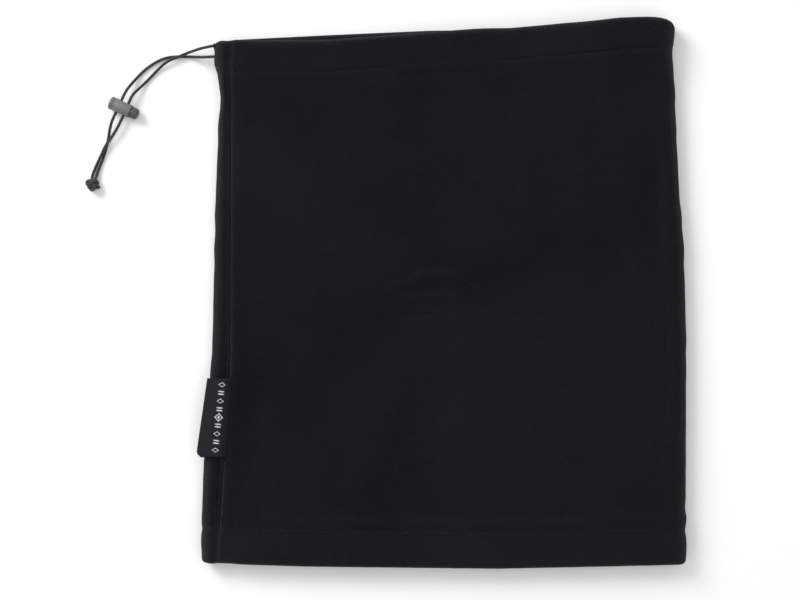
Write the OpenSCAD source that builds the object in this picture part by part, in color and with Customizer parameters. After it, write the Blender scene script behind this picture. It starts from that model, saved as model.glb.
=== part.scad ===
// Neck gaiter of fleece, lying flat, with an elastic drawcord in its top edge.
// X runs across the tube, Y from its bottom hem to its top casing, Z up from the surface it lies on.
// The origin is under the middle of the gaiter, without its cord.

/* [Fleece tube] */
// Thickness of the fleece
fleece_t = 1.6; // [1.4:0.1:1.7]
// Height of the lying tube between its hems
body_h = 9.2; // [9:0.1:10]
// Width of the cut edges turned inwards at the side seam
allowance_w = 6.5; // [4:0.5:9]

/* [Bottom hem] */
// Depth of the turned-in hem
hem_depth = 18; // [14:1:22]
// Height of the lying tube at the hem
hem_h = 12; // [11.5:0.1:13]

/* [Top casing] */
// Depth of the turned-in casing
casing_depth = 17; // [16:1:20]
// Height of the lying tube at the casing
casing_h = 15; // [14.8:0.1:16]

/* [Stitching] */
// Thickness of a line of thread
thread_t = 0.5; // [0.3:0.1:0.6]
// How far a thread stands out of the fleece
thread_proud = 0.1; // [0.05:0.05:0.15]
// Length of a bartack along the fold
bartack_w = 1.6; // [1:0.1:2]

/* [Drawcord] */
// Diameter of the elastic cord
cord_d = 1.5; // [1.3:0.1:1.6]
// Width of the knot that ties the two ends
knot_w = 7.4; // [6:0.1:8]
// Height of the knot
knot_h = 5.2; // [4:0.1:6]

/* [Cord lock] */
// Outer diameter of the barrel
lock_d = 6.7; // [6.4:0.1:7]
// Length of the barrel
barrel_l = 11.6; // [11:0.1:12]
// Wall of the barrel
barrel_wall = 0.4; // [0.35:0.05:0.5]
// Length of the plunger that stands out of the barrel
plunger_out = 4.7; // [4:0.1:5]
// How far the plunger can be pressed
plunger_travel = 1.4; // [1:0.1:1.4]
// Length of the cord window along the barrel
window_l = 6.4; // [6.2:0.1:6.6]
// Height of the cord window
window_h = 2.5; // [2.3:0.1:2.7]
// Diameter of the spring wire
spring_wire = 0.25; // [0.2:0.05:0.3]
// Turns of the spring
spring_turns = 3; // [2:1:4]

/* [Label] */
// Thickness of the folded label
label_t = 0.9; // [0.6:0.1:1]
// Number of woven diamonds on the label
motif_count = 7; // [3:1:8]

/* [Hidden] */
$fn = 48;

fleece_colour = "#1d1c21";
inner_colour = "#26252b";
thread_colour = "#34333a";
cord_colour = "#2d2b2e";
barrel_colour = "#7d7d7f";
plunger_colour = "#4c4d55";
label_colour = "#2b2e30";
motif_colour = "#e4e4e2";

// Outline of the lying tube: [y, x] down its two folds, [x, y] along its two mouths
left_fold = [[-141, -123.2], [-127, -124.1], [-91, -123.1], [-24, -118.4], [48, -116.9], [102, -113.8], [126, -117.9]];
right_fold = [[-141, 125.2], [-135, 125.7], [-24, 125.7], [27, 124.2], [50, 122.1], [97, 119.5], [120, 118], [138, 118]];
bottom_mouth = [[-124, -137.6], [-99, -139.3], [-69, -140.3], [29, -141.4], [81, -140.3], [122, -138.8], [126, -137]];
top_mouth = [[-118, 129.5], [-106, 130.6], [-58, 133.1], [-6, 135.4], [35, 135.7], [76, 139.3], [99, 141.4], [114, 139.6], [118, 136]];
// The side seam, [y, x], on the front
seam_line = [[-138, -115.9], [-84, -112.3], [-40, -109.2], [117, -109.2], [130, -106.1]];

edge_round = 0.8;
layer_gap = 0.05;
channel_h = cord_d + 0.2;
channel_from = 2;
channel_to = casing_depth - 2.4;
hem_slope = 12;
casing_slope = 16;
hem_heights = [[hem_depth, hem_h], [hem_depth + hem_slope, body_h]];
casing_heights = [[casing_depth, casing_h], [casing_depth + casing_slope, body_h]];
body_spots = [for (share = [0.25, 0.4, 0.55, 0.7, 0.8]) [share, 0, 0]];
inner_inset = fleece_t + layer_gap;
seam_inset = fleece_t + 0.15;
casing_inset = inner_inset + channel_h + fleece_t;

// Steps round the tube: 10 along each flat side and 10 round each fold
side_steps = 10;
loop_places = [
    for (i = [0 : side_steps - 1]) [i / side_steps, -90],
    for (i = [0 : side_steps - 1]) [1, -90 + 180 * i / side_steps],
    for (i = [0 : side_steps - 1]) [1 - i / side_steps, 90],
    for (i = [0 : side_steps - 1]) [0, 90 + 180 * i / side_steps]
];

// The two free ends of the cord, from inside the casing to inside the knot
upper_route = [
    [-115.4, 126.8, 7.5], [-118, 126.9, 7.5], [-121.5, 126.4, 6.6], [-125, 125.8, 4.9], [-128.4, 124.9, 3.4],
    [-131.9, 123.8, 2.6], [-136, 122.1, 2.3], [-139.5, 120.8, 2.3], [-143, 118.8, 2], [-146.6, 115.8, 1.2],
    [-150.2, 112.2, 0.8], [-153.6, 108.7, 1], [-156.8, 105.4, 2.1], [-159.6, 102.3, 3.35], [-163.2, 94.6, 3.35],
    [-166.8, 86.9, 3.35], [-168.6, 83.6, 3.2], [-170.6, 80.6, 2.8], [-172.7, 77.8, 2.45], [-174.5, 74.9, 2.35],
    [-176, 71.6, 1.8], [-178, 67.8, 0.95], [-179.6, 64.2, 0.9], [-180.7, 60.9, 1.5], [-180.9, 58.5, 2.2]
];
lower_route = [
    [-115.4, 121.4, 7.5], [-118, 121.4, 7.5], [-121.3, 121.4, 6.4], [-124.6, 121.6, 4.4], [-128.1, 121.9, 2.4],
    [-131.7, 122.2, 1.1], [-135.4, 122.3, 0.75], [-139.3, 122.1, 0.75], [-143.3, 121.4, 0.75], [-147.2, 119.8, 0.75],
    [-150.6, 117.7, 0.75], [-153.8, 115.3, 0.75], [-156.6, 112.6, 0.9], [-158.9, 110, 1.4], [-161.1, 107.2, 2.4],
    [-163.2, 104.1, 3.35], [-166.8, 96.4, 3.35], [-170.4, 88.7, 3.35], [-171.5, 85.3, 2.5], [-172.3, 81.8, 1.3],
    [-173, 78.3, 0.8], [-173.8, 74.9, 0.75], [-174.8, 71.5, 0.75], [-176.1, 67.9, 0.75], [-177.5, 64.4, 0.9],
    [-178.6, 61, 1.5], [-179.5, 58.4, 2.2]
];
knot_at = [-180.4, 56, 0];

// The cord lock lies across the cords; along its axis, 0 is the middle of the cord window
lock_at = [-165, 95.5, lock_d / 2];
lock_turn = -25;
closed_end = -7.15;
end_round = 1;
end_wall = 1;
barrel_mouth = closed_end + barrel_l;
cavity_end = closed_end + end_wall;
bore_r = lock_d / 2 - barrel_wall;
plunger_r = bore_r - 0.08;
plunger_tip = barrel_mouth + plunger_out;
plunger_window_start = -3.1;
plunger_end = plunger_window_start - 0.8;
plunger_window_l = window_l + plunger_travel;
plunger_window_mid = plunger_window_start + plunger_window_l / 2;

// The label hangs from the seam line between these two points
label_z = body_h + 0.3 + label_t / 2;
hinge_top = [-109.2, -43.7];
hinge_bottom = [-112.3, -84.3];
label_outline = [hinge_top, [-120.5, -43.9], [-125.8, -81.2], [-125.3, -83], [-123.1, -83.8], hinge_bottom];
motif_from = [-113.5, -48];
motif_to = [-117.6, -79.5];
motif_size = 2.6;
motif_t = 0.12;

function unit(v) = v / norm(v);

// Faces over rings of m points each, closed on itself or with a cap at each end
function skin_faces(n, m, closed) = [
    for (i = [0 : closed ? n - 1 : n - 2])
        for (j = [0 : m - 1])
            let (a = i * m + j, b = i * m + (j + 1) % m)
            let (d = ((i + 1) % n) * m + j, c = ((i + 1) % n) * m + (j + 1) % m)
            each [[a, c, b], [a, d, c]],
    if (!closed)
        for (j = [1 : m - 2])
            each [[0, j, j + 1], [(n - 1) * m, (n - 1) * m + j + 1, (n - 1) * m + j]]
];

module skin(rings, closed = false) {
    points = [for (ring = rings) each ring];
    polyhedron(points = points, faces = skin_faces(len(rings), len(rings[0]), closed));
}

// A spot is [from, d, inset]. From 0 counts d up from the bottom mouth and 1 counts it down from the top mouth;
// between them, from is the share of the way up. The inset is how deep the spot lies in the wall.
function spot_y(spot, x) =
    (1 - spot[0]) * (lookup(x, bottom_mouth) + spot[1]) + spot[0] * (lookup(x, top_mouth) - spot[1]);
function spot_h(spot) =
    spot[0] == 0 ? lookup(spot[1], hem_heights) :
    spot[0] == 1 ? lookup(spot[1], casing_heights) : body_h;

// A place is [across, turn]: how far across the flat sides, and the angle round a fold
function on_loop(place, spot) =
    let (h = spot_h(spot))
    let (x_left = lookup(spot_y(spot, -118), left_fold) + h / 2)
    let (x_right = lookup(spot_y(spot, 122), right_fold) - h / 2)
    let (x = x_left + place[0] * (x_right - x_left) + (h / 2 - spot[2]) * cos(place[1]))
    [x, spot_y(spot, x), max(0, h / 2 + (h / 2 - spot[2]) * sin(place[1]))];

// A band of the given section, round the whole tube or past the given places only
module band(section, places = loop_places, closed = true) {
    skin([for (place = places) [for (spot = section) on_loop(place, spot)]], closed);
}

// Rings of a round cord along a path; the path never runs along side_of
function cord_rings(path, d, side_of = [0, 0, 1]) = [
    for (i = [0 : len(path) - 1])
        let (along = unit(path[min(i + 1, len(path) - 1)] - path[max(i - 1, 0)]))
        let (side = unit(cross(along, side_of)), up = cross(side, along))
        [for (turn = [22.5 : 45 : 359]) path[i] + d / 2 * (cos(turn) * side + sin(turn) * up)]
];

// A strip on the underside of the front, beside the seam line: from x0 to x1 and from depth z0 to z1
module seam_strip(spots, x0, x1, z0, z1) {
    skin([
        for (spot = spots)
            let (y = spot_y(spot, -110))
            let (x = lookup(y, seam_line), z = spot_h(spot))
            [[x + x0, y, z - z0], [x + x1, y, z - z0], [x + x1, y, z - z1], [x + x0, y, z - z1]]
    ]);
}

module fleece_tube() {
    outer = concat(
        [[0, edge_round, 0], [0, hem_depth, 0], [0, hem_depth + hem_slope, 0]],
        body_spots,
        [[1, casing_depth + casing_slope, 0], [1, casing_depth, 0], [1, casing_depth / 2, 0], [1, edge_round, 0]]
    );
    inner = [for (i = [len(outer) - 1 : -1 : 0]) [outer[i][0], outer[i][1], fleece_t]];
    color(fleece_colour)
    band(concat([[0, 0, edge_round]], outer, [[1, 0, edge_round]], inner));
}

module cord_casing() {
    color(inner_colour)
    band([
        [1, edge_round, inner_inset], [1, edge_round, casing_inset - edge_round],
        [1, 2 * edge_round, casing_inset], [1, casing_depth, casing_inset], [1, casing_depth, inner_inset],
        [1, channel_to, inner_inset], [1, channel_to, inner_inset + channel_h],
        [1, channel_from, inner_inset + channel_h], [1, channel_from, inner_inset]
    ]);
}

module bottom_hem() {
    color(inner_colour)
    band([
        [0, edge_round, inner_inset], [0, hem_depth, inner_inset], [0, hem_depth, inner_inset + fleece_t],
        [0, 2 * edge_round, inner_inset + fleece_t], [0, edge_round, inner_inset + fleece_t - edge_round]
    ]);
}

// The side seam runs at the same heights as the wall that it lies against
seam_spots = concat(
    [[0, hem_depth + 1, 0], [0, hem_depth + hem_slope, 0]],
    body_spots,
    [[1, casing_depth + casing_slope, 0], [1, casing_depth + 1, 0]]
);

module seam_allowance() {
    color(inner_colour)
    seam_strip(seam_spots, 0, allowance_w, seam_inset, seam_inset + 2 * fleece_t);
}

module side_seam_stitches() {
    spots = concat([[0, edge_round, 0]], seam_spots, [[1, edge_round, 0]]);
    color(thread_colour)
    seam_strip(spots, -thread_t / 2, thread_t / 2, -thread_proud, fleece_t - edge_round / 4);
}

module overlock_thread() {
    color(thread_colour)
    seam_strip(seam_spots, allowance_w, allowance_w + thread_t, seam_inset, seam_inset + 2 * fleece_t);
}

module stitch_line(from, d) {
    color(thread_colour)
    band([
        [from, d - thread_t / 2, -thread_proud], [from, d + thread_t / 2, -thread_proud],
        [from, d + thread_t / 2, thread_t], [from, d - thread_t / 2, thread_t]
    ]);
}

module casing_stitches() {
    stitch_line(1, casing_depth - 1);
}

module hem_stitches() {
    stitch_line(0, hem_depth - 1);
}

// One bar of thread across the left fold at each end of the slit that the cord leaves by
module cord_exit_bartacks() {
    places = [for (turn = [150 : 10 : 210]) [0, turn]];
    color(thread_colour)
    for (d = [0.9, 11.5]) {
        section = [
            [1, d - bartack_w / 2, -thread_proud], [1, d + bartack_w / 2, -thread_proud],
            [1, d + bartack_w / 2, thread_t], [1, d - bartack_w / 2, thread_t]
        ];
        band(section, places, false);
    }
}

// The run of the cord inside the casing, from the upper end round the tube to the lower end
module drawcord_in_casing() {
    centre = inner_inset + channel_h / 2;
    front = [for (turn = [170, 145, 118, 90]) on_loop([0, turn], [1, 4 + (170 - turn) / 40, centre])];
    flat_front = [for (i = [1 : 5]) on_loop([i / 5, 90], [1, 7, centre])];
    fold = [for (turn = [60 : -30 : -60]) on_loop([1, turn], [1, 7, centre])];
    flat_back = [for (i = [5 : -1 : 0]) on_loop([i / 5, -90], [1, 7, centre])];
    back = [for (turn = [-118, -145, -170]) on_loop([0, turn], [1, 7 - (turn + 90) / 40, centre])];
    color(cord_colour)
    skin(cord_rings(concat(front, flat_front, fold, flat_back, back), cord_d, [0, 1, 0]));
}

module drawcord_tail_upper() {
    color(cord_colour)
    skin(cord_rings(upper_route, cord_d));
}

module drawcord_tail_lower() {
    color(cord_colour)
    skin(cord_rings(lower_route, cord_d));
}

// Both tails tied together in one round knot
module cord_end_knot() {
    flat = 1.2;
    side = [for (turn = [-90 : 15 : 90]) [flat + (knot_w / 2 - flat) * cos(turn), knot_h / 2 * (1 + sin(turn))]];
    color(cord_colour)
    translate(knot_at)
    rotate_extrude()
    polygon(concat([[0, 0]], side, [[0, knot_h]]));
}

// Puts a piece that is made along X at the lock's place
module at_lock() {
    translate(lock_at)
    rotate([0, 0, lock_turn])
    children();
}

// A round piece along X from its half section of [radius, x]
module turned(section) {
    rotate([0, 90, 0])
    rotate_extrude()
    polygon(section);
}

// A slot with round ends, cut across the lock
module cord_window(length, mid) {
    flat = length - window_h;
    translate([mid, 0, 0])
    rotate([90, 0, 0])
    linear_extrude(height = 2 * lock_d, center = true) {
        square([flat, window_h], center = true);
        for (end = [-1, 1])
            translate([end * flat / 2, 0])
            circle(d = window_h);
    }
}

module cord_lock_barrel() {
    rim = lock_d / 2 - end_round;
    corner = [for (turn = [0 : 15 : 90]) [rim + end_round * sin(turn), closed_end + end_round * (1 - cos(turn))]];
    section = concat(
        [[0, closed_end + 0.3], [rim - 0.9, closed_end + 0.3], [rim - 0.6, closed_end]],
        corner,
        [[lock_d / 2, barrel_mouth], [bore_r, barrel_mouth], [bore_r, cavity_end], [0, cavity_end]]
    );
    color(barrel_colour)
    at_lock()
    difference() {
        turned(section);
        cord_window(window_l, 0);
    }
}

module cord_lock_plunger() {
    dome = 2.1;
    tip = [for (turn = [0 : 15 : 75]) [plunger_r - dome + dome * cos(turn), plunger_tip - dome + dome * sin(turn)]];
    section = concat(
        [[0, plunger_end], [plunger_r, plunger_end]],
        tip,
        [[plunger_r - dome, plunger_tip], [0, plunger_tip]]
    );
    color(plunger_colour)
    at_lock()
    difference() {
        turned(section);
        cord_window(plunger_window_l, plunger_window_mid);
    }
}

// The coil between the closed end of the barrel and the plunger
module cord_lock_spring() {
    coil_r = plunger_r - 1;
    start = cavity_end + spring_wire / 2;
    run = plunger_end - cavity_end - spring_wire;
    steps = 12 * spring_turns;
    path = [
        for (i = [0 : steps])
            [start + run * i / steps, coil_r * cos(30 * i), coil_r * sin(30 * i)]
    ];
    color("silver")
    at_lock()
    skin(cord_rings(path, spring_wire, [1, 0, 0]));
}

module woven_label() {
    along = hinge_bottom - hinge_top;
    color(label_colour)
    translate([0, 0, label_z]) {
        linear_extrude(height = label_t, center = true)
        polygon(label_outline);
        translate(hinge_top)
        rotate([0, 90, atan2(along[1], along[0])])
        cylinder(d = label_t, h = norm(along));
    }
}

// A row of plain diamonds, larger in the middle
module label_motif() {
    run = motif_to - motif_from;
    last = motif_count - 1;
    color(motif_colour)
    for (i = [0 : last]) {
        size = motif_size * (i == floor(last / 2) ? 1.6 : 1);
        translate([motif_from[0], motif_from[1], label_z + label_t / 2])
        translate([run[0] * i / last, run[1] * i / last, 0])
        rotate([0, 0, atan2(run[1], run[0])])
        linear_extrude(height = motif_t)
        polygon([[-size / 2, 0], [0, -size / 2], [size / 2, 0], [0, size / 2]]);
    }
}

fleece_tube();
cord_casing();
bottom_hem();
seam_allowance();
side_seam_stitches();
overlock_thread();
casing_stitches();
hem_stitches();
cord_exit_bartacks();
drawcord_in_casing();
drawcord_tail_upper();
drawcord_tail_lower();
cord_end_knot();
cord_lock_barrel();
cord_lock_plunger();
cord_lock_spring();
woven_label();
label_motif();
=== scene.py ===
# %% [markdown]
# # A fleece neck gaiter, built piece by piece
# A neck gaiter is a tube of brushed fleece that is pulled over the head. This one lies flat on a table. Its
# top edge is a casing with an elastic cord in it, and a small spring lock on the cord's two ends draws the
# casing tight. Every piece below is made in metres, in the same frame as the CAD model: X across the tube,
# Y from the bottom hem up to the casing, and Z up from the table.

# %% Load the frame
import math

import bmesh
import bpy
import numpy as np
from mathutils import Matrix, Vector, noise


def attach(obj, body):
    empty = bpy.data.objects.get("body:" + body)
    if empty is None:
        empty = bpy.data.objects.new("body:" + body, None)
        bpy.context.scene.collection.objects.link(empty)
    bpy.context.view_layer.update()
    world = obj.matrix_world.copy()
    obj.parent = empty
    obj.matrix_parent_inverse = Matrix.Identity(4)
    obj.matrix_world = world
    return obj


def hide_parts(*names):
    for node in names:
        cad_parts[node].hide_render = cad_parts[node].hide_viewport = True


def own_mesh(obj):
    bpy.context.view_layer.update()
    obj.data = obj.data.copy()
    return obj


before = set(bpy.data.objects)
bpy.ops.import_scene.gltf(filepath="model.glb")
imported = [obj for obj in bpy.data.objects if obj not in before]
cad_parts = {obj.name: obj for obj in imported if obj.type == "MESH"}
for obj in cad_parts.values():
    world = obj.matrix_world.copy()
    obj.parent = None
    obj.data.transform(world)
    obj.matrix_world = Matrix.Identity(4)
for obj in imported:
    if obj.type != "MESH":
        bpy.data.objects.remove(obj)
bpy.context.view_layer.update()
scene = bpy.context.scene
MM = 0.001

# %% [markdown]
# ## The camera
# The gaiter is seen straight from above. A long lens keeps the folds and the lock, which lie at different
# heights, from spreading apart, so a lens of 85 mm from about a metre away is used.

# %% The camera
camera_data = bpy.data.cameras.new("camera")
camera_data.lens = 85
camera = bpy.data.objects.new("camera", camera_data)
camera.location = (-21.8 * MM, -3.6 * MM, 978 * MM)
scene.collection.objects.link(camera)
scene.camera = camera
print("camera at", tuple(round(c, 3) for c in camera.location))

# %% [markdown]
# ## The two ends of the drawcord
# The cord is one thin elastic, braided over a rubber core. Both of its ends leave the casing through a slit
# in the left fold, cross twice and run through the lock to a shared knot. A limp cord lies on the table
# except where the casing or the lock lifts it. The routes are given lists of points, and a Bezier
# curve with automatic handles passes through them smoothly. The curve is then made a mesh, so that the
# braid can follow its UV map.

# %% The routes, in millimetres
upper_route = [
    (-115.4, 126.8, 7.5), (-118, 126.9, 7.5), (-121.5, 126.4, 6.6), (-125, 125.8, 4.9),
    (-128.4, 124.9, 3.4), (-131.9, 123.8, 2.6), (-136, 122.1, 2.3), (-139.5, 120.8, 2.3),
    (-143, 118.8, 2), (-146.6, 115.8, 1.2), (-150.2, 112.2, 0.8), (-153.6, 108.7, 1),
    (-156.8, 105.4, 2.1), (-159.6, 102.3, 3.35), (-163.2, 94.6, 3.35), (-166.8, 86.9, 3.35),
    (-168.6, 83.6, 3.2), (-170.6, 80.6, 2.8), (-172.7, 77.8, 2.45), (-174.5, 74.9, 2.35),
    (-176, 71.6, 1.8), (-178, 67.8, 0.95), (-179.6, 64.2, 0.9), (-180.7, 60.9, 1.5),
    (-180.9, 58.5, 2.2),
]
lower_route = [
    (-115.4, 121.4, 7.5), (-118, 121.4, 7.5), (-121.3, 121.4, 6.4), (-124.6, 121.6, 4.4),
    (-128.1, 121.9, 2.4), (-131.7, 122.2, 1.1), (-135.4, 122.3, 0.75), (-139.3, 122.1, 0.75),
    (-143.3, 121.4, 0.75), (-147.2, 119.8, 0.75), (-150.6, 117.7, 0.75), (-153.8, 115.3, 0.75),
    (-156.6, 112.6, 0.9), (-158.9, 110, 1.4), (-161.1, 107.2, 2.4), (-163.2, 104.1, 3.35),
    (-166.8, 96.4, 3.35), (-170.4, 88.7, 3.35), (-171.5, 85.3, 2.5), (-172.3, 81.8, 1.3),
    (-173, 78.3, 0.8), (-173.8, 74.9, 0.75), (-174.8, 71.5, 0.75), (-176.1, 67.9, 0.75),
    (-177.5, 64.4, 0.9), (-178.6, 61, 1.5), (-179.5, 58.4, 2.2),
]
cord_d = 1.5 * MM


# %% Curves that become meshes
def smooth_curve(name, points, radius, closed=False, sides=12, steps=4):
    """A curve through points given in millimetres, with a round section."""
    data = bpy.data.curves.new(name, "CURVE")
    data.dimensions = "3D"
    data.resolution_u = steps
    data.bevel_depth = radius
    data.bevel_resolution = sides // 4 - 1
    data.use_fill_caps = not closed
    spline = data.splines.new("BEZIER")
    spline.bezier_points.add(len(points) - 1)
    for knot, point in zip(spline.bezier_points, points):
        knot.co = Vector(point) * MM
        knot.handle_left_type = knot.handle_right_type = "AUTO"
    spline.use_cyclic_u = closed
    piece = bpy.data.objects.new(name, data)
    scene.collection.objects.link(piece)
    return piece


def as_mesh(piece):
    """The same piece with its curve and modifiers made into a plain mesh."""
    bpy.context.view_layer.update()
    mesh = bpy.data.meshes.new_from_object(piece.evaluated_get(bpy.context.evaluated_depsgraph_get()))
    name = piece.name
    bpy.data.objects.remove(piece)
    made = bpy.data.objects.new(name, mesh)
    scene.collection.objects.link(made)
    made.name = name
    return made


def centreline(name, points):
    """The points of the curve itself, with no thickness."""
    line = as_mesh(smooth_curve(name + "_line", points, 0))
    found = [vertex.co.copy() for vertex in line.data.vertices]
    bpy.data.objects.remove(line)
    return found


def line_length(points):
    return sum((b - a).length for a, b in zip(points, points[1:]))


# %% Lay the two ends
tails = {}
for name, route in (("drawcord_tail_upper", upper_route), ("drawcord_tail_lower", lower_route)):
    path = centreline(name, route)
    tail = as_mesh(smooth_curve("braided_" + name, route, cord_d / 2))
    tails[name] = (tail, path)
    print(name, "is", round(line_length(path) / MM, 1), "mm long,", [u.name for u in tail.data.uv_layers])

# %% [markdown]
# ## The outline of the lying tube
# The fleece is one sheet, cut wider than it is long, sewn into a tube at one side and turned in at both
# ends. Before it can be rolled up, its outline has to be known: where the two folds and the two mouths run.
# Each is a short list of points. Averaging such a line over a short reach rounds its corners off, as cloth
# does.

# %% The outline, in millimetres
def soft_line(points, reach=7):
    """A function that reads a line of points, with its corners rounded over a reach."""
    places, values = zip(*points)
    steps = np.linspace(-1, 1, 9)
    weights = (1 - steps ** 2) / np.sum(1 - steps ** 2)

    def read(place):
        spread = np.asarray(place, float)[..., None] + steps * reach
        return np.interp(spread, places, values) @ weights
    return read


left_fold = soft_line([
    (-139, -123.8), (-127, -124.3), (-91, -123.1), (-24, -118.4), (48, -116.9), (88, -115.2),
    (101, -113.6), (112, -115.8), (121, -117.9), (124, -116.9), (127, -118), (130, -118),
], 2.5)
right_fold = soft_line([
    (-139, 125.2), (-133, 125.8), (-120, 125.3), (-116, 126), (-111, 124.9), (-106, 125.4),
    (-24, 125.7), (27, 124.3), (50, 122.2), (84, 120.5), (106, 119.7), (123, 118.3),
    (129, 118.9), (134, 119.8), (140, 119.8),
], 3)
bottom_mouth = soft_line([
    (-124, -138.2), (-119, -139), (-113, -138.7), (-99, -139.5), (-69, -140.4), (29, -141.5),
    (81, -140.4), (125, -139.4),
], 4)
back_top = soft_line([
    (-119, 127.2), (-116, 128.6), (-112, 129.8), (-106, 130.8), (-58, 133.2), (-6, 135.5),
    (35, 135.8), (76, 139.5), (92, 141.3), (104, 141.6), (120, 141.4),
], 3)
front_top = soft_line([
    (-119, 127.2), (-116, 128.8), (-112.6, 129.6), (-110.8, 128.9), (-107, 130), (-92, 129.6),
    (-58, 129.8), (-22, 132.6), (20, 135.6), (35, 135.8), (76, 139.5), (92, 141.3),
    (104, 141.6), (120, 141.4),
], 1.8)
seam_at = soft_line([
    (-138, -115.9), (-84, -112.3), (-40, -109.4), (60, -109), (117, -109), (130, -107.2),
], 9)
top_corner, bottom_corner = (107, 120, 6), (122, 126, 2.2)
print("tube", round(float(right_fold(0) - left_fold(0)), 1), "mm wide at the middle")

# %% [markdown]
# ## The section of the sheet
# Down its length the sheet turns back on itself twice. At the bottom it makes a hem, and at the top a
# casing that the cord runs in. A row of the sheet is written as (share, up, down, inset): share is 0 at the
# bottom mouth and 1 at the top one, up and down are the distances from those mouths, and inset is how deep
# the middle of the cloth lies under the tube's outer surface. The sheet is 1.6 mm thick, so its wall has an
# inset of 0.8.

# %% Rows, from the raw edge of the hem to the raw edge of the casing
fleece_t = 1.6
wall = fleece_t / 2
hem_stitch, casing_stitch = 17, 16
hem_inset, casing_inset = 2.45, 4.15
hem_slope, casing_slope = 30, 34


def turn(share, inner, reach, steps):
    """Rows round the fold at a mouth, from the wall to the layer inside it, or back if steps is negative."""
    rows = []
    for i in range(1, abs(steps)):
        angle = math.pi * i / abs(steps) - math.pi / 2
        depth = wall + reach * (1 - math.cos(angle))
        inset = (inner + wall) / 2 + (inner - wall) / 2 * math.sin(angle)
        rows.append((share, depth, depth, inset))
    return rows[::-1] if steps < 0 else rows


hem_rows = [(0, up, 0, hem_inset) for up in (18, hem_stitch, 15.5, 13, 10.5, 8, 5.5, 3.5, 2.2)]
low_steps = (2, 3.2, 5, 7.5, 10, 12.5, 14.5, 15.8, 16.5, 17, 17.5, 18.2, 19.5, 21.5, 24, 27)
high_steps = (31, 28, 25, 22.5, 20, 18, 17, 16.5, 16, 15.5, 14.8, 13.5, 11.5, 9, 6.5, 4.5, 3.2)
body_steps = 85
wall_low = [(0, up, 0, wall) for up in low_steps]
body_rows = [(i / body_steps, hem_slope, casing_slope, wall) for i in range(body_steps + 1)]
wall_high = [(1, 0, down, wall) for down in high_steps]
tunnel = [(3.2, 4.15), (4.5, 4.15), (6.5, 4.15), (9, 4.15), (11, 4.05), (12.8, 3.6), (14.2, 2.9), (15.2, 2.5),
          (16, 2.45), (17, 2.45)]
casing_rows = [(1, 0, down, inset) for down, inset in tunnel]
hem_fold, casing_fold = turn(0, hem_inset, 1.3, -6), turn(1, casing_inset, 2.2, 8)
rows = hem_rows + hem_fold + wall_low + body_rows + wall_high + casing_fold + casing_rows
print(len(rows), "rows")

# %% [markdown]
# ## Round the tube
# A column of the sheet is written as (kind, where). The two side edges of the sheet meet at the side seam
# and turn inwards there, so the first and last columns are the two plies of the seam allowance: they are
# given as (how far beside the seam, inset). Between them the sheet runs left to the fold, over the back,
# round the right fold and back over the front.

# %% Columns, from one side edge of the sheet to the other
allowance_w = 6.5
lower_ply = [(allowance_w, 4.1), (4.6, 4.1), (2.6, 4.1), (1, 4.05), (-0.2, 3.7), (-0.75, 3), (-0.83, 2.2),
             (-0.9, 1.6), (-1.25, 1.08), (-1.9, 0.84)]
upper_ply = [(allowance_w, 2.45), (4.6, 2.45), (2.8, 2.45), (1.7, 2.35), (1.05, 2), (0.83, 1.6), (1, 1.2),
             (1.45, 0.92), (2.1, 0.82)]
seam_dip, dip_reach = 0.7, 0.9
seam_sink, sink_right, sink_left = 1.5, 8.0, 2.2
tube_high, hem_swell, casing_swell = 9.2, 1.4, 3.4
fold_share, fold_room = 0.72, 0.4


def ply_columns(ply):
    """Each step of a ply, with the place that it is squeezed to where no allowance hangs free."""
    rim = ply[-1][0]
    return [("ply", (beside, inset, rim * i / (len(ply) - 1))) for i, (beside, inset) in enumerate(ply)]


fold_steps, back_steps, front_steps = 14, 92, 94
columns = ply_columns(lower_ply)
columns += [("strip", i / 4) for i in range(1, 4)]
columns += [("left", 90 + 180 * i / fold_steps) for i in range(fold_steps + 1)]
columns += [("back", i / back_steps) for i in range(1, back_steps)]
columns += [("right", -90 + 180 * i / fold_steps) for i in range(fold_steps + 1)]
columns += [("front", i / front_steps) for i in range(1, front_steps)]
columns += ply_columns(upper_ply)[::-1]
print(len(columns), "columns")


# %% Where a row and a column meet
def smooth_step(t):
    t = min(max(t, 0), 1)
    return t * t * (3 - 2 * t)


def height(row):
    """How high the tube lies: it is thicker at the hem and at the casing."""
    share, up, down, _ = row
    if share == 0:
        return tube_high + hem_swell * smooth_step((hem_slope - up) / 12)
    if share == 1:
        return tube_high + casing_swell * smooth_step((casing_slope - down) / 16)
    return tube_high


def ply_freedom(row):
    """1 where the seam allowance hangs free inside the tube, and 0 where the hem or casing holds it."""
    share, up, down, inset = row
    if inset != wall:
        return 0
    if share == 0:
        return smooth_step((up - hem_stitch - 1) / 4)
    if share == 1:
        return smooth_step((down - casing_stitch - 1) / 4)
    return 1


hem_groove, casing_groove, groove_reach = 0.3, 0.16, 1.3


def groove(row):
    """How far a line of stitches pulls the wall in."""
    share, up, down, inset = row
    if inset != wall or 0 < share < 1:
        return 0
    depth, away = (hem_groove, up - hem_stitch) if share == 0 else (casing_groove, down - casing_stitch)
    return depth * math.exp(-(away / groove_reach) ** 2)


def sunk(x, seam):
    """How far the pull of the side seam sinks the cloth beside it."""
    return seam_sink * math.exp((seam - x) / sink_right if x > seam else (x - seam) / sink_left)


def rounded(x, depth, start, end, drop, reach=13):
    """How far a corner of the tube is rounded off at x; deeper rows follow it less and less."""
    share = min(max((x - start) / (end - start), 0), 1)
    return drop * (1 - math.sqrt(1 - share ** 2)) * smooth_step(1 - depth / reach)


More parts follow.
